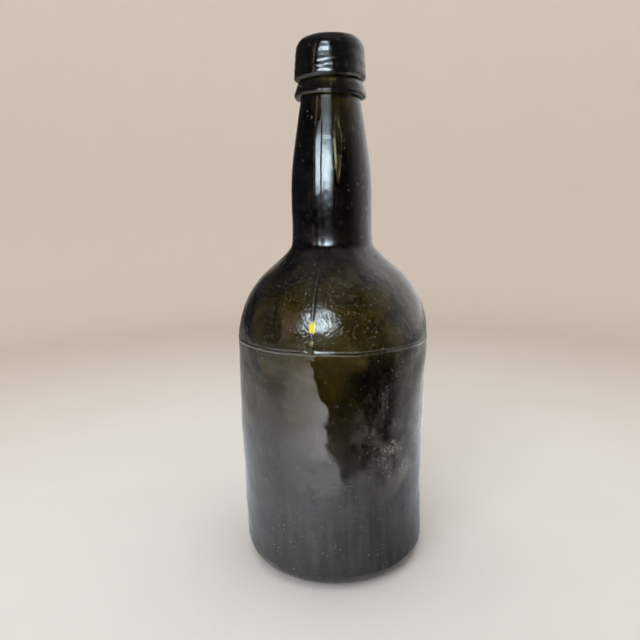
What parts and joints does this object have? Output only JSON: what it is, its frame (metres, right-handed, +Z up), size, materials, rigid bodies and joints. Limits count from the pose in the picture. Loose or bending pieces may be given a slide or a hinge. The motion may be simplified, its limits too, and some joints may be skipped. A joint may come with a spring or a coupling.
{
  "type": "antique glass bottle",
  "caption": "Dark olive glass bottle with a round body, domed shoulder, swollen neck and an applied lip over a flared ring.",
  "frame": {"origin": "on the bottle's axis, in the plane that its base rests on", "axes": "+Z up along the axis towards the mouth; the two upright mould seams face -Y and +Y"},
  "size_m": [0.0906, 0.0906, 0.24],
  "materials": {
    "body_glass": "dark olive, glossy, lightly scuffed",
    "collar_glass": "near-black olive, fire polished"
  },
  "bodies": {
    "root": {"blown_bottle": "body_glass", "string_ring": "collar_glass", "lip_band": "collar_glass"}
  },
  "joints": []
}
